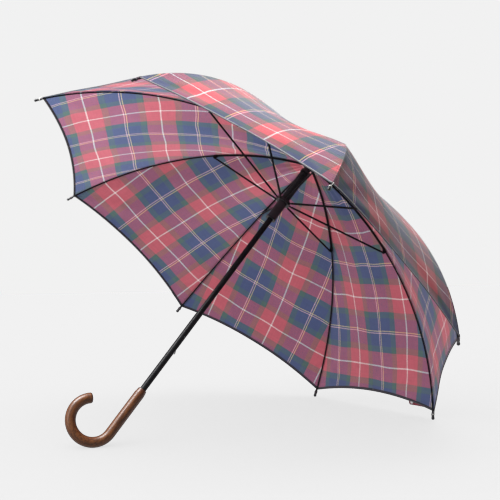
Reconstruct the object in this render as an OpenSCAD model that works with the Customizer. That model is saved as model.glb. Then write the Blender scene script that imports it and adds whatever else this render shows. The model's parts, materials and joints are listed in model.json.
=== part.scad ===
/* [Canopy] */
// Number of ribs, and so of gores
rib_count = 8; // [8:1:8]
// Radius of the arc that each open rib follows
rib_arc_r = 628; // [600:1:660]
// Turn of a rib from its notch end to the stretcher clip, in degrees
turn_joint = 21.9; // [20:0.1:24]
// Turn of a rib from its notch end to its tip, in degrees
turn_tip = 56.3; // [54:0.1:58]
// Thickness of the fabric solids
cloth_t = 1; // [0.8:0.1:1.5]
// How far the hem between two ribs draws in, in degrees of turn
hem_draw = 1.9; // [0:0.1:4]
// How far the middle of a gore sags inward, halfway along the ribs
gore_sag = 12; // [0:1:20]
/* [Shaft] */
// Outside diameter of the shaft tube
shaft_d = 12; // [11:0.5:12]
// Wall thickness of the shaft tube
shaft_wall = 1.1; // [0.9:0.1:1.3]
// Height of the rib pivots above the centre of the grip
notch_z = 664; // [640:1:700]
// Height of the spike's end above the rib pivots
spike_top = 76; // [70:1:90]
/* [Runner] */
// Drop from the rib pivots to the stretcher pivots, canopy open
runner_drop = 106; // [104:1:110]
// Length of the runner's sleeve below its ring
sleeve_len = 50; // [48:1:54]
// Travel of the runner down to the closed latch
runner_travel = 366.4; // [366:0.1:367]
/* [Handle] */
// Diameter of the wooden handle
handle_d = 20; // [18:0.5:22]
// Height of the handle's top end
handle_top = 48; // [40:1:60]
// Height of the crook's centre
crook_z = -59; // [-70:1:-50]
// Radius of the crook's centreline
crook_r = 43; // [38:1:48]
// Turn of the crook, in degrees
crook_turn = 227; // [180:1:235]
/* [Hidden] */
RIBS = [for (k = [1:rib_count]) k];
$fn = 48;
rib_step = 360 / rib_count;

shaft_r = shaft_d / 2;
bore_r = shaft_r + 0.05;
shaft_bottom = handle_top - 62;
shaft_top = notch_z + 24;

// Ring of wire that the rib ends turn on
pivot_r = 10;
wire_r = 0.5;
eye_hole_r = 0.6;
eye_r = 1.9;
eye_t = 1.6;
eye_slot = 2;

// Notch, the slotted crown that the rib ends sit in
notch_r = 13;
notch_bottom = -6;
notch_top = 3.4;
slot_top = 2.3;
slot_inner_r = 7.8;

// Rib sections
rib_w = 3.8;
rib_h = 3;
rib_wall = 0.8;
rod_r = 1.6;
neck_r = 19;
joint_pin_r = 0.7;
joint_hole_r = 0.77;
joint_eye_r = 1.6;
joint_gap = 2.4;

// Clip that carries the rib joint and the stretcher pivot
stretcher_drop = 5;
ear_in = 1.85;
ear_t = 0.8;
ear_r = 2.1;
ear_top = 1.5;
ear_back = 8;

// Stretchers and the runner's slotted ring
ring_pivot_r = 14;
ring_r = 16;
ring_below = 3;
ring_above = 4;
ring_slot = 1.9;
ring_slot_r = 11.8;
stretcher_w = 3;
stretcher_h = 3.2;
stretcher_eye_t = 1.3;
stretcher_eye_r = 1.7;
stretcher_neck = 8;
sleeve_r = 10.4;
lip_r = 11.4;
lip_h = 3;

// Opening spring and its collar, above the runner
collar_z = notch_z - 22;
collar_h = 6;
collar_r = 10.6;
spring_in_r = 7;
spring_out_r = 9.6;
spring_gap = 0.3;

// Bottom catch, a sprung wedge in a slot on the side away from the crook
catch_len = 14;
catch_proud = 2.2;
catch_w = 3.4;
catch_arm_t = 0.8;
catch_arm_x = -3.6;
catch_slot_w = 3.8;
catch_slot_gap = 0.5;
catch_pin_rise = 40;
catch_pin_r = 0.8;
catch_eye_r = 1.7;
window_gap = 0.6;
window_above_lip = 46;

// Canopy solids
cloth_lift = 2.5;
seam_gap = 0.2;
hem_turn = turn_tip - 1.5;
cloth_start_r = 14.2;
cap_r = 17;
cap_z = 3.6;
cap_h = 2.5;
tip_start_turn = turn_tip - 1.2;
tip_len = 12;
tip_r = 2.4;
tip_ball_r = 2.9;
gore_rows = 20;
gore_columns = 8;

// Closing strap outside the hem of one gore
strap_gore = 5;
strap_len = 56;
strap_w = 12;
strap_t = 1;
strap_from_rib = 52;
strap_turn = turn_tip - 2.5;
strap_lift = 5.4;

// Heights that follow from the ones above
arc_z = notch_z - rib_arc_r;
ring_z = notch_z - runner_drop;
catch_z = ring_z - runner_travel - window_above_lip;

function arc_at(turn, lift = 0) =
    [pivot_r + (rib_arc_r + lift) * sin(turn), arc_z + (rib_arc_r + lift) * cos(turn)];
joint = arc_at(turn_joint);
stretcher_pivot = arc_at(turn_joint, -stretcher_drop);
ring_pivot = [ring_pivot_r, ring_z];
stretcher_run = stretcher_pivot - ring_pivot;
stretcher_len = norm(stretcher_run);
stretcher_tilt = atan2(stretcher_run[1], stretcher_run[0]);
neck_turn = asin((neck_r - pivot_r) / rib_arc_r);
eye_turn = asin(1.2 / rib_arc_r);
gap_turn = joint_gap / rib_arc_r * 180 / PI;

// Turns a child about Z to the place of rib k
module at_rib(k) rotate([0, 0, rib_step * (k - 1)]) children();

// A cylinder along Y with its middle at radius r and height z
module cross_pin(r, z, radius, length)
    translate([r, length / 2, z]) rotate([90, 0, 0]) cylinder(h = length, r = radius);

// Sweeps a section, drawn as depth by width, along the rib arc from one turn to another
module along_arc(from, to)
    translate([pivot_r, 0, arc_z]) rotate([90, 0, 0]) rotate([0, 0, 90 - to])
        rotate_extrude(angle = to - from, $fn = 96) translate([rib_arc_r, 0]) children();

// A bar of the given depth and width from one stretcher pivot to the other
module stretcher_bar(from, length, depth, width)
    translate([ring_pivot_r, 0, ring_z]) rotate([0, -stretcher_tilt, 0])
        translate([from, -width / 2, -depth / 2]) cube([length, width, depth]);

module ring(radius, wire, z) translate([0, 0, z]) rotate_extrude() translate([radius, 0]) circle(r = wire);

module tube(outer, inner, bottom, top)
    translate([0, 0, bottom]) difference() {
        cylinder(h = top - bottom, r = outer);
        translate([0, 0, -1]) cylinder(h = top - bottom + 2, r = inner);
    }

module shaft() color([0.03, 0.03, 0.035]) difference() {
    tube(shaft_r, shaft_r - shaft_wall, shaft_bottom, shaft_top);
    translate([-shaft_r - 1, -catch_slot_w / 2, catch_z - catch_slot_gap])
        cube([shaft_r, catch_slot_w, catch_len + 2 * catch_slot_gap]);
    cross_pin(catch_arm_x + catch_arm_t / 2, catch_z + catch_pin_rise, catch_pin_r, shaft_d + 2);
}

// Crook handle: straight grip, bend and rounded free end, bored for the shaft
module handle() color([0.36, 0.16, 0.07]) difference() {
    union() {
        translate([0, 0, crook_z]) cylinder(h = handle_top - 10 - crook_z, r = handle_d / 2);
        translate([0, 0, handle_top - 10]) cylinder(h = 10, r1 = handle_d / 2, r2 = handle_d / 2 - 1.6);
        translate([crook_r, 0, crook_z]) rotate([90, 0, 0]) rotate([0, 0, 180]) {
            rotate_extrude(angle = crook_turn, $fn = 96) translate([crook_r, 0]) circle(r = handle_d / 2);
            rotate([0, 0, crook_turn]) translate([crook_r, 0, 0]) rotate([-90, 0, 0])
                handle_end();
        }
    }
    translate([0, 0, shaft_bottom - 0.5]) cylinder(h = handle_top - shaft_bottom + 2, r = bore_r);
}

// Domed free end of the crook
module handle_end() {
    round_r = 4;
    translate([0, 0, -0.01]) cylinder(h = round_r, r = handle_d / 2 - round_r);
    rotate_extrude() translate([handle_d / 2 - round_r, 0]) intersection() {
        circle(r = round_r);
        square([round_r, round_r]);
    }
}

module top_notch() color([0.04, 0.04, 0.045]) translate([0, 0, notch_z]) difference() {
    union() {
        translate([0, 0, notch_bottom]) cylinder(h = notch_top - notch_bottom, r = notch_r);
        translate([0, 0, notch_bottom - 8]) cylinder(h = 8.5, r = slot_inner_r);
    }
    translate([0, 0, notch_bottom - 9]) cylinder(h = 20, r = bore_r);
    for (k = RIBS) at_rib(k) translate([slot_inner_r, -eye_slot / 2, notch_bottom - 1])
        cube([notch_r, eye_slot, slot_top - notch_bottom + 1]);
    ring(pivot_r, wire_r + 0.05, 0);
}

module notch_wire() color([0.6, 0.6, 0.62]) ring(pivot_r, wire_r, notch_z);

module canopy_cap() color([0.05, 0.05, 0.06])
    translate([0, 0, notch_z + cap_z]) difference() {
        union() {
            cylinder(h = 1.2, r = cap_r);
            translate([0, 0, 1.2]) cylinder(h = cap_h - 1.2, r1 = cap_r, r2 = cap_r - 4);
        }
        translate([0, 0, -1]) cylinder(h = cap_h + 2, r = bore_r);
    }

// Spike: a ferrule over the shaft's end, tapering to a round pin
module spike() color([0.05, 0.05, 0.06]) translate([0, 0, notch_z + cap_z + cap_h + 0.05]) {
    socket_h = shaft_top - notch_z - cap_z - cap_h;
    pin_top = spike_top - cap_z - cap_h;
    difference() {
        union() {
            cylinder(h = socket_h, r = 8);
            translate([0, 0, socket_h]) cylinder(h = 6, r1 = 8, r2 = 4);
            translate([0, 0, socket_h + 6]) cylinder(h = pin_top - socket_h - 10, r = 4);
            translate([0, 0, pin_top - 4]) sphere(r = 4);
        }
        translate([0, 0, -1]) cylinder(h = socket_h + 1, r = bore_r);
    }
}

module spring_collar() color([0.05, 0.05, 0.055])
    tube(collar_r, bore_r, collar_z, collar_z + collar_h);

module opening_spring() color([0.07, 0.07, 0.08])
    tube(spring_out_r, spring_in_r, ring_z + ring_above + spring_gap, collar_z - spring_gap);

module runner() color([0.04, 0.04, 0.045]) translate([0, 0, ring_z]) difference() {
    union() {
        translate([0, 0, -ring_below]) cylinder(h = ring_below + ring_above, r = ring_r);
        translate([0, 0, -sleeve_len]) cylinder(h = sleeve_len, r = sleeve_r);
        translate([0, 0, -sleeve_len]) cylinder(h = lip_h, r = lip_r);
    }
    translate([0, 0, -sleeve_len - 1]) cylinder(h = sleeve_len + 20, r = bore_r);
    for (k = RIBS) at_rib(k) translate([ring_slot_r, -ring_slot / 2, -ring_below - 1])
        cube([ring_r, ring_slot, ring_below + ring_above + 2]);
    ring(ring_pivot_r, wire_r + 0.05, 0);
    translate([-lip_r - 1, -catch_slot_w / 2 - 0.4, -window_above_lip - window_gap])
        cube([lip_r, catch_slot_w + 0.8, catch_len + 2 * window_gap]);
}

// Pivot wire of the runner, in short lengths between the slots
module runner_wire() color([0.6, 0.6, 0.62]) {
    half_slot = asin(ring_slot / 2 / ring_pivot_r) + 1;
    for (k = RIBS) rotate([0, 0, rib_step * (k - 1) + half_slot]) translate([0, 0, ring_z])
        rotate_extrude(angle = rib_step - 2 * half_slot) translate([ring_pivot_r, 0]) circle(r = wire_r);
}

// Sprung catch: a wedge with a steep lower edge, on an arm that turns on a pin inside the shaft
module bottom_catch() color([0.65, 0.65, 0.67]) difference() {
    union() {
        translate([0, catch_w / 2, catch_z]) rotate([90, 0, 0]) linear_extrude(catch_w)
            polygon([[catch_arm_x + catch_arm_t, 0], [-shaft_r - catch_proud, 0],
                     [-shaft_r - catch_proud, 2], [catch_arm_x, catch_len],
                     [catch_arm_x + catch_arm_t, catch_len]]);
        translate([catch_arm_x, -catch_w / 2, catch_z])
            cube([catch_arm_t, catch_w, catch_pin_rise]);
        cross_pin(catch_arm_x + catch_arm_t / 2, catch_z + catch_pin_rise, catch_eye_r - 0.4, catch_w);
    }
    cross_pin(catch_arm_x + catch_arm_t / 2, catch_z + catch_pin_rise, catch_pin_r + 0.06, catch_w + 2);
}

module catch_pin() color([0.6, 0.6, 0.62])
    cross_pin(catch_arm_x + catch_arm_t / 2, catch_z + catch_pin_rise, catch_pin_r - 0.02, shaft_d - 3.6);

// Inner rib: eye on the notch wire, flat neck, channel, and the clip at its end
module rib_inner(k) color([0.08, 0.08, 0.09]) at_rib(k) difference() {
    union() {
        cross_pin(pivot_r, notch_z, eye_r, eye_t);
        along_arc(eye_turn, neck_turn + 0.02) square([2.6, eye_t], center = true);
        along_arc(neck_turn, turn_joint - gap_turn) difference() {
            square([rib_h, rib_w], center = true);
            translate([-rib_h / 2 - 0.01, -rib_w / 2 + rib_wall])
                square([rib_h - rib_wall, rib_w - 2 * rib_wall]);
        }
        for (side = [-1, 1]) joint_ear(side);
        ear_bridge();
        cross_pin(joint[0], joint[1], joint_pin_r, 2 * (ear_in + ear_t) + 0.8);
        cross_pin(stretcher_pivot[0], stretcher_pivot[1], joint_pin_r, 2 * (ear_in + ear_t) + 0.8);
    }
    cross_pin(pivot_r, notch_z, eye_hole_r, eye_t + 2);
}

// One ear of the clip, a plate beside the rib that reaches down to the stretcher pivot
module joint_ear(side)
    translate([joint[0], side * (ear_in + ear_t / 2) + ear_t / 2, joint[1]]) rotate([90, 0, 0])
        rotate([0, 0, -turn_joint]) {
            linear_extrude(ear_t) polygon([[-ear_back, ear_top], [0, ear_top], [ear_top, 0],
                [ear_r, -stretcher_drop], [-ear_r, -stretcher_drop], [-ear_back, -ear_r]]);
            cylinder(h = ear_t, r = ear_top);
            translate([0, -stretcher_drop, 0]) cylinder(h = ear_t, r = ear_r);
        }

// Bridge that ties the two ears to the inner rib
module ear_bridge() along_arc(turn_joint - 0.72, turn_joint - gap_turn) square([rib_h, 5.3], center = true);

// Outer rib: a round spring rod that turns in the clip
module rib_outer(k) color([0.08, 0.08, 0.09]) at_rib(k) difference() {
    union() {
        cross_pin(joint[0], joint[1], joint_eye_r, 3);
        along_arc(turn_joint + 0.08, turn_tip - 0.4) circle(r = rod_r);
    }
    cross_pin(joint[0], joint[1], joint_hole_r, 5);
}

// Tip: a small socket over the rod's end with a ball outside the hem
module rib_tip(k) color([0.06, 0.06, 0.07]) at_rib(k) {
    foot = arc_at(tip_start_turn);
    translate([foot[0], 0, foot[1]]) rotate([0, 90 + tip_start_turn + 0.5, 0]) difference() {
        union() {
            cylinder(h = tip_len, r = tip_r);
            translate([0, 0, tip_len]) sphere(r = tip_ball_r);
        }
        translate([0, 0, -1]) cylinder(h = tip_len, r = rod_r + 0.08);
    }
}

// Stretcher: a bar with an eye in the clip and a flat end in the runner's slot
module stretcher(k) color([0.08, 0.08, 0.09]) at_rib(k) difference() {
    union() {
        stretcher_bar(stretcher_neck, stretcher_len - stretcher_neck, stretcher_h, stretcher_w);
        stretcher_bar(0, stretcher_neck + 0.1, stretcher_h - 0.4, stretcher_eye_t);
        cross_pin(ring_pivot_r, ring_z, stretcher_eye_r, stretcher_eye_t);
        cross_pin(stretcher_pivot[0], stretcher_pivot[1], joint_eye_r, stretcher_w);
    }
    cross_pin(ring_pivot_r, ring_z, eye_hole_r, 4);
    cross_pin(stretcher_pivot[0], stretcher_pivot[1], joint_hole_r, 5);
    stretcher_groove();
}

// Channel along the underside of a stretcher
module stretcher_groove()
    translate([ring_pivot_r, 0, ring_z]) rotate([0, -stretcher_tilt, 0])
        translate([12, -0.6, -stretcher_h]) cube([stretcher_len - 20, 1.2, stretcher_h]);

// A point of gore 1: turn along the rib, share across from rib 1 to rib 2, lift off the rib arc
function gore_point(turn, share, lift) =
    let (p = arc_at(turn, lift), bow = 4 * share * (1 - share),
         a = [p[0], seam_gap],
         b = [p[0] * cos(rib_step) + seam_gap * sin(rib_step), p[0] * sin(rib_step) - seam_gap * cos(rib_step)],
         chord = a * (1 - share) + b * share,
         sag = gore_sag * bow * bow * sin(180 * turn / hem_turn),
         inward = [cos(rib_step / 2), sin(rib_step / 2)] * sag * sin(turn))
    [chord[0] - inward[0], chord[1] - inward[1], p[1] - sag * cos(turn)];

// Gore: a thin closed shell from rib k to the next, seam to seam and crown to hem
module gore(k) color([0.75, 0.32, 0.36]) at_rib(k) {
    start = asin((cloth_start_r - pivot_r) / rib_arc_r);
    columns = gore_columns + 1;
    sheet = columns * (gore_rows + 1);
    points = [for (lift = [cloth_lift, cloth_lift + cloth_t]) for (i = [0:gore_rows])
        for (j = [0:gore_columns])
            let (share = j / gore_columns, hem = hem_turn - hem_draw * 4 * share * (1 - share))
            gore_point(start + (hem - start) * i / gore_rows, share, lift)];
    quads = [for (i = [0:gore_rows - 1]) for (j = [0:gore_columns - 1]) i * columns + j];
    edge = concat([for (j = [0:gore_columns]) j],
        [for (i = [1:gore_rows]) i * columns + gore_columns],
        [for (j = [1:gore_columns]) gore_rows * columns + gore_columns - j],
        [for (i = [1:gore_rows - 1]) (gore_rows - i) * columns]);
    rim = len(edge);
    polyhedron(points = points, faces = concat(
        [for (q = quads) [q, q + columns, q + columns + 1]],
        [for (q = quads) [q, q + columns + 1, q + 1]],
        [for (q = quads) [sheet + q, sheet + q + columns + 1, sheet + q + columns]],
        [for (q = quads) [sheet + q, sheet + q + 1, sheet + q + columns + 1]],
        [for (n = [0:rim - 1]) [edge[n], edge[(n + 1) % rim], sheet + edge[(n + 1) % rim]]],
        [for (n = [0:rim - 1]) [edge[n], sheet + edge[(n + 1) % rim], sheet + edge[n]]]));
}

// Places a child on the closing strap: X along the hem, Y toward the rim, Z outward
module on_strap() {
    middle = arc_at(strap_turn, strap_lift);
    rotate([0, 0, rib_step * (strap_gore - 0.5)])
        translate([middle[0] * cos(rib_step / 2), strap_from_rib - middle[0] * sin(rib_step / 2), middle[1]])
            rotate([0, strap_turn, 0]) rotate([0, 0, -90]) children();
}

module closure_strap() color([0.45, 0.05, 0.08]) on_strap()
    translate([-strap_len / 2, -strap_w / 2, 0]) cube([strap_len, strap_w, strap_t]);

module strap_snap() color([0.7, 0.7, 0.72]) on_strap()
    for (side = [-1, 1]) translate([side * (strap_len / 2 - 9), 0, -1.25]) cylinder(h = 1.2, r = 4.5);

shaft();
handle();
top_notch();
notch_wire();
canopy_cap();
spike();
spring_collar();
opening_spring();
runner();
runner_wire();
bottom_catch();
catch_pin();
closure_strap();
strap_snap();
for (k = RIBS) {
    rib_inner(k);
    rib_outer(k);
    rib_tip(k);
    stretcher(k);
    gore(k);
}
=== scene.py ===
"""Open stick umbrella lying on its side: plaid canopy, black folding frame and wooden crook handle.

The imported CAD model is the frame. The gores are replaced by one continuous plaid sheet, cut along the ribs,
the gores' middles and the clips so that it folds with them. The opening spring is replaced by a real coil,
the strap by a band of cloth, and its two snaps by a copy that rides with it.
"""
import json
import math
import bpy
import numpy as np
from mathutils import Matrix, Vector, noise


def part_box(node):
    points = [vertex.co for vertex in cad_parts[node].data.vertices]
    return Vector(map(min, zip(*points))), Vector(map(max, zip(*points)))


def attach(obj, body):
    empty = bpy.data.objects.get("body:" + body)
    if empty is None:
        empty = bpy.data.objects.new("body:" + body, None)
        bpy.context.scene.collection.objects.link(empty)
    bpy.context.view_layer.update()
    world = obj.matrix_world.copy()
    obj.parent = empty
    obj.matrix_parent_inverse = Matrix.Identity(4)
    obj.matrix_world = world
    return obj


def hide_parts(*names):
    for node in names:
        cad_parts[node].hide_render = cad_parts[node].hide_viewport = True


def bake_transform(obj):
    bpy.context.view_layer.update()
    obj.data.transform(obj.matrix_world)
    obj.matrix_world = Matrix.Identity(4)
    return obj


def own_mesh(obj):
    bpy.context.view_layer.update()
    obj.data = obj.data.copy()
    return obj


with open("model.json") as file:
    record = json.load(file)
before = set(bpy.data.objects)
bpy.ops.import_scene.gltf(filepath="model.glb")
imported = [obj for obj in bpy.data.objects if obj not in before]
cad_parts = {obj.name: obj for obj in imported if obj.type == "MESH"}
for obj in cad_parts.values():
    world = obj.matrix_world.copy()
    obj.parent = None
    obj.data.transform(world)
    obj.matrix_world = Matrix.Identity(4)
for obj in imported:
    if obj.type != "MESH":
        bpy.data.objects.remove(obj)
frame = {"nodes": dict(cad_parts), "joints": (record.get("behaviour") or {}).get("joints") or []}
NODES = frame["nodes"]
JOINTS = {j["name"]: j for j in frame["joints"]}
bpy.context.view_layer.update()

# ---------------------------------------------------------------- sizes, in metres and degrees
MM = 0.001
RIBS = range(1, 9)
RIB_COUNT = len(RIBS)
RIB_STEP = math.radians(45)
NOTCH = Vector(JOINTS["rib_1_fold"]["pos_m"])
CLIP = Vector(JOINTS["rib_1_flex"]["pos_m"])
PIVOT_R = NOTCH.x
ARC_R = 0.628
ARC_Z = NOTCH.z - ARC_R
CLIP_TURN = math.asin((CLIP.x - PIVOT_R) / ARC_R)
HEM_TURN = math.radians(54.8)
TIP_TURN = HEM_TURN + math.radians(0.3)
HEM_DRAW = math.radians(1.9)
CROWN_TURN = math.asin(0.0042 / ARC_R)
GORE_SAG = 12 * MM
CLOTH_LIFT = 3.0 * MM
SETT = 157 * MM
TWILL_REPEAT = 1.1 * MM
WHITE_TIED_RIBS = (1, 3, 5)
# Distance of a white line from the middle of each gore, in mm, as the gores were cut
WHITE_LINES = (20, 50, -60, -77, 47, -28, -14, 79)


# ---------------------------------------------------------------- mesh and piece helpers
def new_piece(name, verts, faces, body, materials, smooth=True):
    """A mesh piece that rides on a body, or on none yet if it is to bend between two."""
    mesh = bpy.data.meshes.new(name)
    mesh.from_pydata([tuple(v) for v in verts], [], faces)
    mesh.update()
    for m in materials:
        mesh.materials.append(m)
    if smooth:
        mesh.shade_smooth()
    piece = bpy.data.objects.new(name, mesh)
    bpy.context.scene.collection.objects.link(piece)
    if body:
        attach(piece, body)
    return piece


def tube_mesh(path, radius, sides=10, closed=False, ends=True):
    """Vertices and faces of a round tube along points. radius is a number or one for each point."""
    path = [Vector(p) for p in path]
    count = len(path)
    radii = radius if hasattr(radius, "__len__") else [radius] * count
    verts, faces = [], []
    side = None
    for i, p in enumerate(path):
        before = path[i - 1] if i or closed else p
        after = path[(i + 1) % count] if i + 1 < count or closed else p
        along = (after - before).normalized()
        if side is None:
            side = along.orthogonal().normalized()
        side = (side - along * side.dot(along)).normalized()
        up = along.cross(side)
        for j in range(sides):
            a = 2 * math.pi * j / sides
            verts.append(p + (side * math.cos(a) + up * math.sin(a)) * radii[i])
    for i in range(count if closed else count - 1):
        for j in range(sides):
            a, b = i * sides, (i + 1) % count * sides
            k = (j + 1) % sides
            faces.append((a + j, a + k, b + k, b + j))
    if ends and not closed:
        faces.append(tuple(range(sides))[::-1])
        faces.append(tuple(range((count - 1) * sides, count * sides)))
    return verts, faces


def joined(parts):
    """One list of vertices and one of faces from several."""
    verts, faces = [], []
    for v, f in parts:
        base = len(verts)
        verts += list(v)
        faces += [tuple(i + base for i in face) for face in f]
    return verts, faces


def rib_angle(k):
    return RIB_STEP * (k - 1)


def across_rib(k):
    """The direction across rib k, toward the next one."""
    a = rib_angle(k)
    return Vector((-math.sin(a), math.cos(a), 0))


def on_rib(k, turn, lift=0.0, across=0.0):
    """A point on rib k: turn along its arc, lift off it, and distance across it."""
    r = PIVOT_R + (ARC_R + lift) * math.sin(turn)
    z = ARC_Z + (ARC_R + lift) * math.cos(turn)
    a = rib_angle(k)
    return Vector((r * math.cos(a) - across * math.sin(a), r * math.sin(a) + across * math.cos(a), z))


# ---------------------------------------------------------------- material helpers
class Shader:
    """A material's node tree with short calls for the nodes used here."""

    def __init__(self, name):
        self.material = bpy.data.materials.new(name)
        self.material.use_nodes = True
        self.tree = self.material.node_tree
        self.bsdf = self.tree.nodes["Principled BSDF"]
        self.out = self.tree.nodes["Material Output"]

    def node(self, kind, **settings):
        made = self.tree.nodes.new(kind)
        for key, value in settings.items():
            setattr(made, key, value)
        return made

    def link(self, a, b):
        self.tree.links.new(a, b)

    def put(self, socket, value):
        if isinstance(value, bpy.types.NodeSocket):
            self.link(value, socket)
        else:
            socket.default_value = value

    def math(self, operation, a, b=0.0, c=0.0, clamp=False):
        made = self.node("ShaderNodeMath", operation=operation, use_clamp=clamp)
        for socket, value in zip(made.inputs, (a, b, c)):
            self.put(socket, value)
        return made.outputs[0]

    def mix(self, factor, a, b, blend="MIX"):
        made = self.node("ShaderNodeMix", data_type="RGBA", blend_type=blend)
        self.put(made.inputs["Factor"], factor)
        self.put(made.inputs["A"], a)
        self.put(made.inputs["B"], b)
        return made.outputs["Result"]

    def gamma(self, colour, power):
        made = self.node("ShaderNodeGamma")
        self.link(colour, made.inputs["Color"])
        made.inputs["Gamma"].default_value = power
        return made.outputs[0]

    def ramp(self, factor, stops, constant=False):
        made = self.node("ShaderNodeValToRGB")
        ramp = made.color_ramp
        ramp.interpolation = "CONSTANT" if constant else "LINEAR"
        while len(ramp.elements) < len(stops):
            ramp.elements.new(0.5)
        for element, (place, colour) in zip(ramp.elements, stops):
            element.position = place
            element.color = colour
        self.put(made.inputs[0], factor)
        return made.outputs[0]

    def noise(self, scale, vector=None, detail=3.0, rough=0.55, stretch=None):
        made = self.node("ShaderNodeTexNoise")
        made.inputs["Scale"].default_value = scale
        made.inputs["Detail"].default_value = detail
        made.inputs["Roughness"].default_value = rough
        if vector is None:
            vector = self.node("ShaderNodeTexCoord").outputs["Object"]
        if stretch:
            mapping = self.node("ShaderNodeMapping")
            mapping.inputs["Scale"].default_value = stretch
            self.link(vector, mapping.inputs["Vector"])
            vector = mapping.outputs[0]
        self.link(vector, made.inputs["Vector"])
        return made.outputs["Fac"]

    def bump(self, height, strength=0.3, distance=0.001, normal=None):
        made = self.node("ShaderNodeBump")
        made.inputs["Strength"].default_value = strength
        made.inputs["Distance"].default_value = distance
        self.link(height, made.inputs["Height"])
        if normal is not None:
            self.link(normal, made.inputs["Normal"])
        return made.outputs[0]

    def set(self, **values):
        for key, value in values.items():
            self.put(self.bsdf.inputs[key.replace("_", " ")], value)
        return self


def rgb(r, g, b):
    return (r, g, b, 1.0)


def varied(s, colour, scale, amount=0.25):
    """A colour with soft lighter and darker patches."""
    low = rgb(*(c * (1 - amount) for c in colour))
    high = rgb(*(min(1, c * (1 + amount)) for c in colour))
    return s.ramp(s.noise(scale), [(0.35, low), (0.65, high)])


def coated(name, colour, roughness, metallic=0.0, specular=0.4, grain=900, bump=0.12, stretch=None):
    """Paint, plastic or wire: patchy colour, uneven gloss and a fine surface texture."""
    s = Shader(name)
    s.set(Base_Color=varied(s, colour, 60), Metallic=metallic)
    spread = s.noise(140, detail=4)
    rough = s.math("MULTIPLY_ADD", spread, 0.16, roughness - 0.08)
    s.set(Roughness=rough)
    s.bsdf.inputs["Specular IOR Level"].default_value = specular
    fine = s.noise(grain, detail=2, stretch=stretch)
    s.set(Normal=s.bump(fine, bump, 0.0003))
    return s.material


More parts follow.
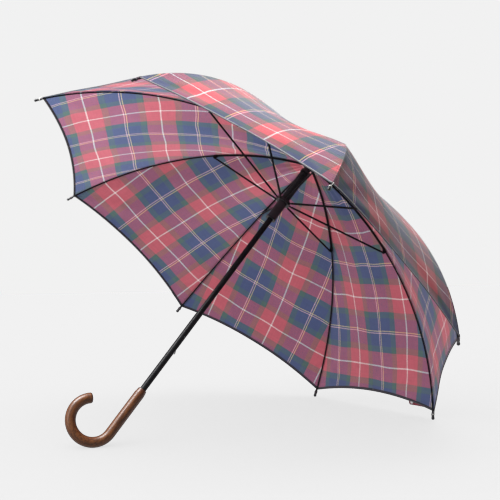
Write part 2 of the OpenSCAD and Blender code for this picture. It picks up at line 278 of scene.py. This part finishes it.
# ---------------------------------------------------------------- materials
def plaid_material():
    """Thin plaid cloth: two sets of yarns in one sett, a twill weave, seams, and light through it."""
    s = Shader("plaid_cloth")
    uv = s.node("ShaderNodeUVMap", uv_map="plaid").outputs[0]
    split = s.node("ShaderNodeSeparateXYZ")
    s.link(uv, split.inputs[0])
    red, navy, green = rgb(0.56, 0.118, 0.155), rgb(0.072, 0.1, 0.22), rgb(0.085, 0.15, 0.14)
    white, yellow, pink = rgb(0.9, 0.86, 0.84), rgb(0.85, 0.7, 0.36), rgb(0.9, 0.62, 0.66)
    # One repeat: a white line in the middle of a red band, green, navy with two fine lines, green
    sett = [(0.0, white), (0.009, red), (0.205, green), (0.293, navy), (0.478, yellow), (0.489, navy),
            (0.511, pink), (0.522, navy), (0.707, green), (0.795, red), (0.991, white)]
    yarns = []
    for axis in ("X", "Y"):
        repeat = s.math("FRACT", s.math("DIVIDE", split.outputs[axis], SETT))
        yarns.append(s.ramp(repeat, sett, constant=True))
    # Twill: each crossing shows the warp or the weft, in diagonal lines that repeat every 1.1 mm
    diagonal = s.math("ADD", split.outputs["X"], split.outputs["Y"])
    twill = s.math("PINGPONG", s.math("DIVIDE", diagonal, TWILL_REPEAT), 0.5)
    weave = s.math("MULTIPLY_ADD", s.math("GREATER_THAN", twill, 0.25), 0.5, 0.25)
    cloth = s.mix(weave, yarns[0], yarns[1])
    # Slubs in the yarns and slow fading
    slub = s.noise(260, uv, detail=2, stretch=(1.0, 0.15, 1.0))
    slub_across = s.noise(260, uv, detail=2, stretch=(0.15, 1.0, 1.0))
    grain = s.math("MULTIPLY_ADD", s.math("ADD", slub, slub_across), 0.22, 0.78)
    fade = s.math("MULTIPLY_ADD", s.noise(7, detail=2), 0.3, 0.85)
    shade = s.math("MULTIPLY", grain, fade)
    tone = s.node("ShaderNodeHueSaturation")
    s.link(cloth, tone.inputs["Color"])
    s.link(shade, tone.inputs["Value"])
    # Seams along the ribs: a dark line of painted shade in the fold over the rib, and lighter stitches beside
    # it
    edge = s.node("ShaderNodeUVMap", uv_map="edges").outputs[0]
    places = s.node("ShaderNodeSeparateXYZ")
    s.link(edge, places.inputs[0])
    from_seam, along = places.outputs["X"], places.outputs["Y"]
    fold_half, stitch_from_seam, stitch_half, stitch_pitch = 1.1 * MM, 4 * MM, 0.4 * MM, 4 * MM
    seam_painted_shade = s.math("LESS_THAN", from_seam, fold_half)
    off_row = s.math("ABSOLUTE", s.math("SUBTRACT", from_seam, stitch_from_seam))
    stitch_row = s.math("LESS_THAN", off_row, stitch_half)
    stitch_gap = s.math("GREATER_THAN", s.math("FRACT", s.math("DIVIDE", along, stitch_pitch)), 0.35)
    stitch = s.math("MULTIPLY", stitch_row, stitch_gap)
    seamed = s.mix(s.math("MULTIPLY", seam_painted_shade, 0.6), tone.outputs[0], rgb(0.03, 0.02, 0.04))
    seamed = s.mix(s.math("MULTIPLY", stitch, 0.7), seamed, rgb(0.12, 0.03, 0.05))
    # Small puckers across the seams, and the weave's own relief
    pucker = s.noise(1.0, edge, detail=2, stretch=(60, 160, 1))
    near_seam = s.math("POWER", s.math("SUBTRACT", 1.0, s.math("DIVIDE", from_seam, 0.05), clamp=True), 2.0)
    gathered = s.math("MULTIPLY", pucker, near_seam)
    height = s.math("MULTIPLY_ADD", gathered, 1.0, s.math("MULTIPLY", stitch, -0.2))
    relief = s.bump(height, 0.55, 0.004)
    relief = s.bump(twill, 0.25, 0.0003, relief)
    # Painted shade: the outer side's colour is darkened and deepened to stand in for light passing through
    # the cloth, and the inner side keeps the paler colour
    outer_side_painted_shade = s.gamma(seamed, 1.7)
    inner_side = s.node("ShaderNodeNewGeometry").outputs["Backfacing"]
    print_with_painted_side_shade = s.mix(inner_side, outer_side_painted_shade, seamed)
    s.set(Base_Color=print_with_painted_side_shade, Roughness=0.62, Normal=relief)
    s.bsdf.inputs["Sheen Weight"].default_value = 0.26
    s.bsdf.inputs["Sheen Roughness"].default_value = 0.5
    s.bsdf.inputs["Specular IOR Level"].default_value = 0.12
    lit = s.node("ShaderNodeBsdfTranslucent")
    s.link(s.gamma(print_with_painted_side_shade, 0.82), lit.inputs["Color"])
    s.link(relief, lit.inputs["Normal"])
    both = s.node("ShaderNodeMixShader")
    both.inputs[0].default_value = 0.18
    s.link(s.bsdf.outputs[0], both.inputs[1])
    s.link(lit.outputs[0], both.inputs[2])
    s.link(both.outputs[0], s.out.inputs["Surface"])
    return s.material


def tape_material(name, colour):
    """Narrow woven binding or strap: fine ribs across it and a soft sheen."""
    s = Shader(name)
    coordinate = s.node("ShaderNodeTexCoord").outputs["Object"]
    ribs = s.node("ShaderNodeTexWave", wave_type="BANDS", bands_direction="DIAGONAL")
    ribs.inputs["Scale"].default_value = 420
    ribs.inputs["Distortion"].default_value = 1.5
    s.link(coordinate, ribs.inputs["Vector"])
    base = varied(s, colour, 90, 0.3)
    dark = rgb(*(c * 0.5 for c in colour))
    s.set(Base_Color=s.mix(s.math("MULTIPLY", ribs.outputs["Fac"], 0.5), base, dark), Roughness=0.8)
    s.set(Normal=s.bump(ribs.outputs["Fac"], 0.4, 0.0004))
    s.bsdf.inputs["Sheen Weight"].default_value = 0.3
    return s.material


def wood_material():
    """Bent, lacquered chestnut: grain lines that follow the crook, darker ends and pores."""
    s = Shader("polished_wood")
    coordinate = s.node("ShaderNodeTexCoord").outputs["Object"]
    grain_way = s.node("ShaderNodeMapping")
    grain_way.inputs["Scale"].default_value = (1.0, 1.0, 0.22)
    s.link(coordinate, grain_way.inputs["Vector"])
    warp = s.noise(45, grain_way.outputs[0], detail=3)
    bands = s.node("ShaderNodeTexWave", wave_type="BANDS", bands_direction="Y")
    bands.inputs["Scale"].default_value = 110
    bands.inputs["Distortion"].default_value = 9
    bands.inputs["Detail"].default_value = 3
    bands.inputs["Detail Scale"].default_value = 1.4
    s.link(grain_way.outputs[0], bands.inputs["Vector"])
    mixed = s.math("MULTIPLY_ADD", warp, 0.5, s.math("MULTIPLY", bands.outputs["Fac"], 0.5))
    wood = s.ramp(mixed, [(0.2, rgb(0.045, 0.014, 0.004)), (0.5, rgb(0.08, 0.026, 0.007)),
                          (0.85, rgb(0.115, 0.04, 0.011))])
    pores = s.noise(700, grain_way.outputs[0], detail=2)
    dark_pores = s.math("GREATER_THAN", pores, 0.66)
    wood = s.mix(s.math("MULTIPLY", dark_pores, 0.35), wood, rgb(0.03, 0.01, 0.005))
    # The wood is darker toward the shaft end
    split = s.node("ShaderNodeSeparateXYZ")
    s.link(coordinate, split.inputs[0])
    top = s.math("MULTIPLY_ADD", split.outputs["Z"], 26.0, -0.55, clamp=True)
    wood = s.mix(s.math("MULTIPLY", top, 0.75), wood, rgb(0.05, 0.014, 0.008))
    s.set(Base_Color=wood, Roughness=s.math("MULTIPLY_ADD", warp, 0.15, 0.33))
    s.bsdf.inputs["Coat Weight"].default_value = 0.1
    s.bsdf.inputs["Coat Roughness"].default_value = 0.2
    s.bsdf.inputs["Specular IOR Level"].default_value = 0.3
    s.set(Normal=s.bump(bands.outputs["Fac"], 0.12, 0.0003))
    return s.material


def steel_material(name, colour):
    """Bright drawn steel with fine scratches."""
    return coated(name, colour, 0.3, metallic=1.0, grain=1600, bump=0.1, stretch=(1, 1, 0.1))


PLAID = plaid_material()
HEM = tape_material("hem_binding", (0.012, 0.01, 0.022))
STRAP = tape_material("strap_cloth", (0.2, 0.012, 0.03))
THREAD = tape_material("tie_thread", (0.8, 0.78, 0.74))
DARK_THREAD = tape_material("dark_thread", (0.05, 0.025, 0.045))
WOOD = wood_material()
SHAFT_PAINT = coated("shaft_enamel", (0.008, 0.008, 0.009), 0.38, specular=0.08, grain=400, bump=0.05)
RIB_PAINT = coated("rib_enamel", (0.008, 0.008, 0.009), 0.4, specular=0.1, grain=500, bump=0.08)
PLASTIC = coated("black_moulding", (0.014, 0.014, 0.016), 0.32, grain=1100, bump=0.15)
SPRING = coated("spring_coating", (0.012, 0.012, 0.014), 0.34, metallic=0.3, specular=0.3, grain=700,
                bump=0.08)
BRIGHT = steel_material("bright_steel", (0.6, 0.6, 0.62))

CAD_LOOKS = {"shaft": SHAFT_PAINT, "handle": WOOD, "notch_wire": BRIGHT, "runner_wire": BRIGHT,
             "bottom_catch": BRIGHT, "catch_pin": BRIGHT, "strap_snap": BRIGHT}
for name, node in NODES.items():
    looks = CAD_LOOKS.get(name, PLASTIC)
    if name.startswith("stretcher") or name.endswith(("inner", "outer")):
        looks = RIB_PAINT
    node.data.materials.clear()
    node.data.materials.append(looks)


# ---------------------------------------------------------------- canopy
def wrinkles(k, share, turn):
    """Height of the folds in gore k, fading to none at the ribs. share is 0 at rib k and 1 at the next."""
    pinned = np.clip(4 * share * (1 - share), 0, 1) ** 0.8
    t = turn / HEM_TURN
    chord = 2 * (PIVOT_R + ARC_R * np.sin(turn)) * math.sin(RIB_STEP / 2)
    crown = 0.8 * MM * np.sin(2 * math.pi * (share * 5 + 0.37 * k)) * np.exp(-((t - 0.1) / 0.12) ** 2)
    # Tension folds that leave each hem corner toward the middle of the gore
    corner = np.zeros_like(share)
    for side, phase in ((share, 1.3 * k), (1 - share, 2.1 * k + 1)):
        across, back = side * chord, (HEM_TURN - turn) * ARC_R
        reach = np.hypot(across, back)
        bearing = np.arctan2(across, back + 1e-6)
        corner = corner + np.sin(9 * bearing + phase) * np.exp(-((reach - 0.09) / 0.07) ** 2)
    slow = np.array([noise.noise(Vector((a * 2.3 + 7 * k, b * 4.5, 0.3)))
                     for a, b in zip(share.flat, t.flat)])
    slack = slow.reshape(share.shape) * 3.5 * MM * t
    return (crown + 1.3 * MM * corner + slack) * pinned


def canopy_surface(k, share, turn, lift=CLOTH_LIFT, folds=True):
    """Points of the open canopy's sheet, for arrays of share across gore k and turn along it."""
    r = PIVOT_R + (ARC_R + lift) * np.sin(turn)
    z = ARC_Z + (ARC_R + lift) * np.cos(turn)
    a, b = rib_angle(k), rib_angle(k) + RIB_STEP
    x = r * (math.cos(a) * (1 - share) + math.cos(b) * share)
    y = r * (math.sin(a) * (1 - share) + math.sin(b) * share)
    drop = GORE_SAG * (4 * share * (1 - share)) ** 2 * np.sin(math.pi * turn / HEM_TURN)
    if folds:
        drop = drop - wrinkles(k, share, turn)
    middle = (a + b) / 2
    x = x - drop * np.sin(turn) * math.cos(middle)
    y = y - drop * np.sin(turn) * math.sin(middle)
    return np.stack([x, y, z - drop * np.cos(turn)], axis=-1)


def hem_line(share):
    """Turn at which the cloth ends, drawn in between the ribs."""
    return HEM_TURN - HEM_DRAW * 4 * share * (1 - share)


def cloth_length(turn):
    """Length along the middle of a gore, from the crown to a turn."""
    steps = np.linspace(0, 1, 40)
    slope = np.sqrt(1 - (math.sin(RIB_STEP / 2) * np.cos(np.multiply.outer(turn, steps))) ** 2)
    return ARC_R * turn * slope.mean(axis=-1)


def plaid_offset(k):
    """How far the sett lies to one side of gore k's middle, and from the crown."""
    return -MM * WHITE_LINES[k - 1], -17.5 * MM


def half_gore(k, first_half, outer):
    """The sheet between rib k and the middle of gore k, or from the middle to the next rib."""
    rib = k if first_half else k % RIB_COUNT + 1
    rows = 34 if outer else 24
    columns = 18
    near_rib = np.linspace(0, 1, columns + 1) ** 1.35 * 0.5
    share_line = near_rib if first_half else 1 - near_rib[::-1]
    share = np.tile(share_line, (rows + 1, 1))
    start = CLIP_TURN if outer else CROWN_TURN
    stop = hem_line(share) if outer else np.full_like(share, CLIP_TURN)
    along = np.linspace(0, 1, rows + 1)[:, None]
    turn = start + (stop - start) * along
    points = canopy_surface(k, share, turn)
    # Felled seam: the cloth rises slightly over the rib
    chord = 2 * (PIVOT_R + ARC_R * np.sin(turn)) * math.sin(RIB_STEP / 2)
    from_rib = (share if first_half else 1 - share) * chord
    points[..., 2] += 0.5 * MM * np.exp(-(from_rib / (3 * MM)) ** 2)
    across = columns + 1
    faces = [(i * across + j, (i + 1) * across + j, (i + 1) * across + j + 1, i * across + j + 1)
             for i in range(rows) for j in range(columns)]
    place = "outer" if outer else "inner"
    side = "a" if first_half else "b"
    piece = new_piece(f"canopy_{k}{side}_{place}", points.reshape(-1, 3), faces,
                      f"rib_{rib}_{place}", [PLAID])
    shift_u, shift_v = plaid_offset(k)
    u = (share - 0.5) * chord + shift_u + waver(k, share, turn / HEM_TURN)
    v = cloth_length(turn) + shift_v + waver(k + 0.5, turn / HEM_TURN, share)
    write_uv(piece, "plaid", u.ravel(), v.ravel())
    write_uv(piece, "edges", from_rib.ravel(), (turn * ARC_R).ravel())
    smooth_normals(piece, k, share, turn)
    return piece, rib


def waver(k, a, b):
    """How far the cloth's yarns wander, for arrays of two places across it."""
    return MM * (0.9 * np.sin(9 * a + 14 * b + 1.9 * k) + 0.5 * np.sin(17 * a - 23 * b + 0.7 * k))


def write_uv(piece, name, u, v):
    """A UV layer from one pair of numbers for each vertex."""
    layer = piece.data.uv_layers.new(name=name)
    loops = np.empty(len(piece.data.loops), int)
    piece.data.loops.foreach_get("vertex_index", loops)
    layer.data.foreach_set("uv", np.stack([u[loops], v[loops]], axis=-1).astype(np.float32).ravel())


def smooth_normals(piece, k, share, turn):
    """Normals from the surface itself, so that the sheet shades as one across its cuts."""
    step = 1e-4
    sideways = canopy_surface(k, share + step, turn) - canopy_surface(k, share - step, turn)
    outward = canopy_surface(k, share, turn + step) - canopy_surface(k, share, turn - step)
    normals = np.cross(outward, sideways).reshape(-1, 3)
    normals /= np.linalg.norm(normals, axis=1)[:, None]
    piece.data.normals_split_custom_set_from_vertices(normals.tolist())


def fold_onto_rib(piece):
    """Gives the piece a mesh of its own."""
    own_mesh(piece)


def hem_binding(k, first_half, rib):
    """The narrow dark binding folded over the hem of half a gore."""
    stations = 40
    near_rib = np.linspace(0, 0.5, stations)
    share = near_rib if first_half else 1 - near_rib[::-1]
    edge = hem_line(share)
    width, half = 4.5 * MM / ARC_R, 0.55 * MM
    section = [(-width, half), (-0.3 * width, half), (0.15 * width, 0.4 * half), (0.15 * width, -0.4 * half),
               (-0.3 * width, -half), (-width, -half)]
    rings = [canopy_surface(k, share, edge + t, CLOTH_LIFT + lift) for t, lift in section]
    verts = np.stack(rings, axis=1).reshape(-1, 3)
    sides = len(section)
    faces = []
    for i in range(stations - 1):
        here, ahead = i * sides, (i + 1) * sides
        for j in range(sides):
            beside = (j + 1) % sides
            faces.append((here + j, here + beside, ahead + beside, ahead + j))
    faces += [tuple(range(sides))[::-1], tuple(range((stations - 1) * sides, stations * sides))]
    side = "a" if first_half else "b"
    return new_piece(f"hem_{k}{side}", verts, faces, f"rib_{rib}_outer", [HEM])


def build_canopy():
    """Eight gores, each in four sheets: two halves, above and below the clips."""
    for k in RIBS:
        for first_half in (True, False):
            for outer in (False, True):
                piece, rib = half_gore(k, first_half, outer)
                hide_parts(f"gore_{k}")
                trim = []
                if outer:
                    trim = [hem_binding(k, first_half, rib)]
                    fold_onto_rib(trim[0])
                fold_onto_rib(piece)


build_canopy()


# ---------------------------------------------------------------- opening spring
def build_spring():
    """The opening spring as a coil of wire in the CAD tube's place."""
    low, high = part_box("opening_spring")
    wire = 1.15 * MM
    coil_r = (high.x - low.x) / 2 - wire
    turns = 30
    per_turn = 24
    first, last = low.z + wire, high.z - wire
    path = []
    for i in range(turns * per_turn + 1):
        share = i / (turns * per_turn)
        a = 2 * math.pi * turns * share
        path.append((coil_r * math.cos(a), coil_r * math.sin(a), first + (last - first) * share))
    verts, faces = tube_mesh(path, wire, sides=8)
    spring = new_piece("spring_coil", verts, faces, None, [SPRING])
    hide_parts("opening_spring")
    return spring, low.z, high.z


spring, spring_bottom, spring_top = build_spring()
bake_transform(spring)


# ---------------------------------------------------------------- threads, strap and fine parts
def wrap(k, turn, radius, turns, pitch, lift=0.0, thread=0.35 * MM):
    """A thread wound round rib k at a turn along it."""
    centre = on_rib(k, turn, lift)
    along = (on_rib(k, turn + 1e-3, lift) - centre).normalized()
    across = across_rib(k)
    up = along.cross(across)
    per_turn = 14
    steps = turns * per_turn
    path = []
    for i in range(steps + 1):
        turned = 2 * math.pi * i / per_turn
        offset = (i / steps - 0.5) * pitch * turns
        path.append(centre + along * offset + (across * math.cos(turned) + up * math.sin(turned)) * radius)
    return tube_mesh(path, thread, sides=6)


def build_threads():
    """Ties that hold the cloth's corners to the tips and its seams to the ribs."""
    for k in RIBS:
        tip = [wrap(k, TIP_TURN + math.radians(0.35), 2.75 * MM, 3, 0.8 * MM)]
        tail = [on_rib(k, HEM_TURN + math.radians(0.5), 2.8 * MM),
                on_rib(k, HEM_TURN + math.radians(0.1), 3.6 * MM, 0.6 * MM),
                on_rib(k, HEM_TURN - math.radians(0.5), 3.9 * MM, 0.9 * MM)]
        tip.append(tube_mesh(tail, 0.4 * MM, sides=6))
        verts, faces = joined(tip)
        thread = THREAD if k in WHITE_TIED_RIBS else DARK_THREAD
        new_piece(f"tip_tie_{k}", verts, faces, f"rib_{k}_outer", [thread])
        middle = CLIP_TURN + 0.52 * (HEM_TURN - CLIP_TURN)
        verts, faces = wrap(k, middle, 2.05 * MM, 3, 0.8 * MM)
        new_piece(f"seam_tie_{k}", verts, faces, f"rib_{k}_outer", [DARK_THREAD])


def build_strap():
    """The closing strap: a bowed double band of cloth with rounded ends and a hemmed edge."""
    node = NODES["closure_strap"]
    corners = np.array([v.co for v in node.data.vertices])
    centre = corners.mean(axis=0)
    _, _, axes = np.linalg.svd(np.unique(corners.round(6), axis=0) - centre, full_matrices=False)
    long_way, short_way, normal = (Vector(a) for a in axes)
    if normal.z < 0:
        normal = -normal
    spread = (corners - centre) @ np.array(axes).T
    half_long, half_short = spread[:, 0].max(), spread[:, 1].max()
    rows, columns = 48, 8
    half_cloth = 0.4 * MM
    round_from, round_length = 0.86, 0.14
    verts, faces = [], []
    for layer in (half_cloth, -half_cloth):
        for i in range(rows + 1):
            s = -1 + 2 * i / rows
            end = math.sqrt(max(0.0, 1 - max(0.0, (abs(s) - round_from) / round_length) ** 2))
            for j in range(columns + 1):
                t = (-1 + 2 * j / columns) * (0.35 + 0.65 * end)
                bow = 1.0 * MM * math.cos(1.6 * s) + 0.35 * MM * math.sin(5 * s + 2 * t)
                edge = 0.5 if abs(t) > 0.8 else 1.0
                p = Vector(centre) + long_way * (s * half_long) + short_way * (t * half_short)
                verts.append(p + normal * (bow + layer * edge))
    across = columns + 1
    sheet = (rows + 1) * across
    for i in range(rows):
        for j in range(columns):
            q = i * across + j
            faces.append((q, q + 1, q + across + 1, q + across))
            faces.append((sheet + q, sheet + q + across, sheet + q + across + 1, sheet + q + 1))
    rim = list(range(across))
    rim += [i * across + columns for i in range(1, rows + 1)]
    rim += [rows * across + j for j in range(columns - 1, -1, -1)]
    rim += [i * across for i in range(rows - 1, 0, -1)]
    for n, a in enumerate(rim):
        b = rim[(n + 1) % len(rim)]
        faces.append((b, a, sheet + a, sheet + b))
    strap = new_piece("strap_band", verts, faces, "rib_5_outer", [STRAP])
    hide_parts("closure_strap")
    snaps = bpy.data.objects.new("strap_snaps", NODES["strap_snap"].data.copy())
    bpy.context.scene.collection.objects.link(snaps)
    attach(snaps, "rib_5_outer")
    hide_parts("strap_snap")
    # Both ride on rib 5 with the cloth, each with a mesh of its own
    for piece in (strap, snaps):
        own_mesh(piece)


build_threads()
build_strap()


# ---------------------------------------------------------------- stage: floor, light and camera
def lowest(name, up):
    """The vertex of a CAD node that lies lowest along a direction."""
    return min((v.co for v in NODES[name].data.vertices), key=lambda p: p.dot(up)).copy()


def floor_plane(guess):
    """The plane that the umbrella lies on: its crook and the tips of ribs 5 and 6."""
    up = guess.normalized()
    for _ in range(4):
        a, b, c = (lowest(n, up) for n in ("rib_5_tip", "rib_6_tip", "handle"))
        normal = (b - a).cross(c - a).normalized()
        up = normal if normal.dot(up) > 0 else -normal
    return up, a


UP, CONTACT = floor_plane(Vector((0.64, 0.26, 0.72)))

camera_data = bpy.data.cameras.new("camera")
camera_data.sensor_width = 36
camera_data.lens = 84.2
camera = bpy.data.objects.new("camera", camera_data)
bpy.context.scene.collection.objects.link(camera)
# Where the camera stands, which way it looks and which way is up in its picture
EYE = Vector((0.2065, 2.2681, -0.4806))
LOOK = Vector((-0.0862, -0.9254, 0.3690)).normalized()
HEAD = Vector((0.6232, 0.2389, 0.7447))
right = LOOK.cross(HEAD).normalized()
head = right.cross(LOOK)
turned = Matrix((right, head, -LOOK)).transposed()
camera.matrix_world = Matrix.Translation(EYE) @ turned.to_4x4()
bpy.context.scene.camera = camera


def stage_material():
    """Pale floor, seen from above only."""
    s = Shader("pale_floor")
    s.set(Base_Color=rgb(0.4, 0.4, 0.4), Roughness=0.9)
    clear = s.node("ShaderNodeBsdfTransparent")
    both = s.node("ShaderNodeMixShader")
    facing = s.node("ShaderNodeNewGeometry").outputs["Backfacing"]
    s.link(facing, both.inputs[0])
    s.link(s.bsdf.outputs[0], both.inputs[1])
    s.link(clear.outputs[0], both.inputs[2])
    s.link(both.outputs[0], s.out.inputs["Surface"])
    return s.material


def build_floor():
    """A flat floor under the umbrella that shows only the shadows on it."""
    ahead = (LOOK - UP * LOOK.dot(UP)).normalized()
    side = ahead.cross(UP)
    half = 4.0
    verts = [CONTACT + (ahead * p + side * w) * half for p, w in ((-1, -1), (1, -1), (1, 1), (-1, 1))]
    mesh = bpy.data.meshes.new("floor_plane")
    mesh.from_pydata([tuple(v) for v in verts], [], [(0, 1, 2, 3)])
    mesh.update()
    if mesh.polygons[0].normal.dot(UP) < 0:
        mesh.flip_normals()
    mesh.materials.append(stage_material())
    floor = bpy.data.objects.new("floor_plane", mesh)
    bpy.context.scene.collection.objects.link(floor)
    floor.is_shadow_catcher = True
    return floor


def area_light(name, place, size, power):
    """A round lamp at a place measured from the point that it shines at."""
    data = bpy.data.lights.new(name, "AREA")
    data.shape = "DISK"
    data.size = size
    data.energy = power
    light = bpy.data.objects.new(name, data)
    light.location = LIT_POINT + place
    light.rotation_mode = "QUATERNION"
    light.rotation_quaternion = (-place).to_track_quat("-Z", "Y")
    bpy.context.scene.collection.objects.link(light)
    return light


def link_light(light, floor, state):
    """Makes a lamp shine on the floor alone, or on everything else."""
    group = bpy.data.collections.new(f"{light.name}_receivers")
    group.objects.link(floor)
    group.collection_objects[0].light_linking.link_state = state
    light.light_linking.receiver_collection = group


def studio_world(bright_way):
    """An even pale backdrop, and softer light from around that is brighter on one side."""
    world = bpy.data.worlds.new("studio")
    world.use_nodes = True
    tree = world.node_tree
    backdrop = tree.nodes["Background"]
    backdrop.inputs["Color"].default_value = rgb(1, 1, 1)
    backdrop.inputs["Strength"].default_value = 0.88
    around = tree.nodes.new("ShaderNodeBackground")
    way = tree.nodes.new("ShaderNodeTexCoord")
    facing = tree.nodes.new("ShaderNodeVectorMath")
    facing.operation = "DOT_PRODUCT"
    facing.inputs[1].default_value = bright_way
    level = tree.nodes.new("ShaderNodeMath")
    level.operation = "MULTIPLY_ADD"
    level.use_clamp = True
    level.inputs[1].default_value = AROUND_SLOPE
    level.inputs[2].default_value = AROUND_MEAN
    tree.links.new(way.outputs["Generated"], facing.inputs[0])
    tree.links.new(facing.outputs["Value"], level.inputs[0])
    tree.links.new(level.outputs[0], around.inputs["Strength"])
    path = tree.nodes.new("ShaderNodeLightPath")
    both = tree.nodes.new("ShaderNodeMixShader")
    tree.links.new(path.outputs["Is Camera Ray"], both.inputs[0])
    tree.links.new(around.outputs[0], both.inputs[1])
    tree.links.new(backdrop.outputs[0], both.inputs[2])
    tree.links.new(both.outputs[0], tree.nodes["World Output"].inputs["Surface"])
    bpy.context.scene.world = world


LIT_POINT = NOTCH - Vector((0, 0, 0.2))
AROUND_MEAN, AROUND_SLOPE = 0.42, 0.32
SIDE = LOOK.cross(UP).normalized()
floor = build_floor()
key = area_light("key", Vector((0.93, 0.2, 0.3)) * 2.6, 1.6, 270)
fill = area_light("fill", -LOOK * 1.3 - SIDE * 2.1 + UP * 0.6, 2.0, 32)
wash = area_light("floor_wash", UP * 2.5, 3.0, 150)
wash.data.use_shadow = False
link_light(wash, floor, "INCLUDE")
for light in (key, fill):
    link_light(light, floor, "EXCLUDE")
studio_world(UP * 0.45 - SIDE * 0.75 - LOOK * 0.45)
bpy.context.scene.view_settings.view_transform = "Standard"
